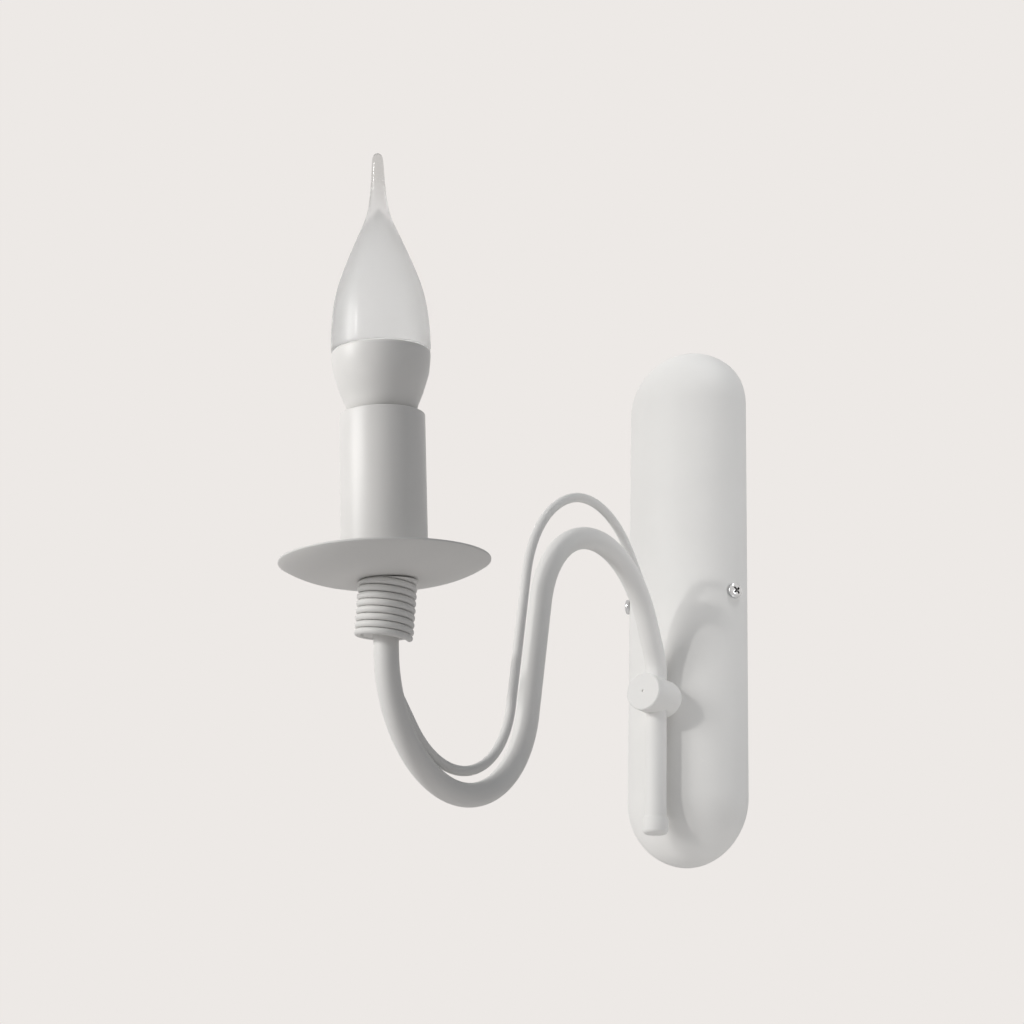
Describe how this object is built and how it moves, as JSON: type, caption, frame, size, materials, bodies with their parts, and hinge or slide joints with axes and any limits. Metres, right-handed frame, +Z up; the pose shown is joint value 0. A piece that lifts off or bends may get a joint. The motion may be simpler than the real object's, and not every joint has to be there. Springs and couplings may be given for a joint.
{
  "type": "candle wall light",
  "caption": "Wall light with a pill-shaped cover, a swivelling bent tube arm with accent wire and coil collar, a drip plate, a candle sleeve and a flame lamp that unscrews.",
  "frame": {"origin": "on the wall plane at the centre of the cover's back", "axes": "+Z up, -Y out of the wall into the room, +X to the right of a viewer who faces the wall"},
  "size_m": [0.08, 0.2718, 0.2461],
  "materials": {
    "white_paint": "satin white paint",
    "zinc": "zinc plated",
    "chrome_screw": "bright plated",
    "block_plastic": "moulded, matt",
    "brass": "plain",
    "sleeve_white": "satin white",
    "holder_plastic": "moulded, matt",
    "frosted_glass": "frosted",
    "housing_white": "gloss white",
    "cap_metal": "nickel plated",
    "insulator_black": "matt",
    "board": "white solder mask",
    "chip_yellow": "phosphor"
  },
  "bodies": {
    "wall_base": {"wall_cover": "white_paint", "wall_bracket": "zinc", "cover_screws": "chrome_screw", "terminal_block": "block_plastic", "terminal_screws": "brass", "earth_screw": "brass", "arm_boss": "white_paint", "boss_washer": "zinc", "boss_nut": "brass"},
    "arm": {"arm_tube": "white_paint", "leg_end_cap": "white_paint", "accent_wire": "white_paint", "collar_coil": "white_paint", "coil_bush": "white_paint", "arm_nipple": "zinc", "drip_plate": "white_paint", "candle_sleeve": "sleeve_white", "holder_base": "holder_plastic", "holder_terminals": "brass", "holder_body": "holder_plastic", "screw_shell": "brass", "centre_contact": "brass"},
    "lamp_foot": {"bulb_contact": "brass"},
    "lamp": {"bulb_insulator": "insulator_black", "bulb_screw_cap": "cap_metal", "bulb_housing": "housing_white", "bulb_glass": "frosted_glass", "led_board": "board", "led_chips": "chip_yellow", "driver_board": "board"}
  },
  "joints": [
    {"name": "arm_swivel", "type": "hinge", "parent": "wall_base", "child": "arm", "pos_m": [0, -0.031, -0.05], "axis": [0, 0, 1], "range_deg": [-75, 75]},
    {"name": "bulb_lift", "type": "slide", "parent": "arm", "child": "lamp_foot", "axis": [0, -0.0958, 0.9954], "range_m": [0, 0.0113]},
    {"name": "bulb_turn", "type": "hinge", "parent": "lamp_foot", "child": "lamp", "pos_m": [0, -0.22857, -0.07656], "axis": [0, -0.0958, 0.9954], "range_deg": [0, 1440]}
  ],
  "couplings": [
    {"joint": "bulb_lift", "follows": "bulb_turn", "m_per_rad": 0.00044914}
  ]
}
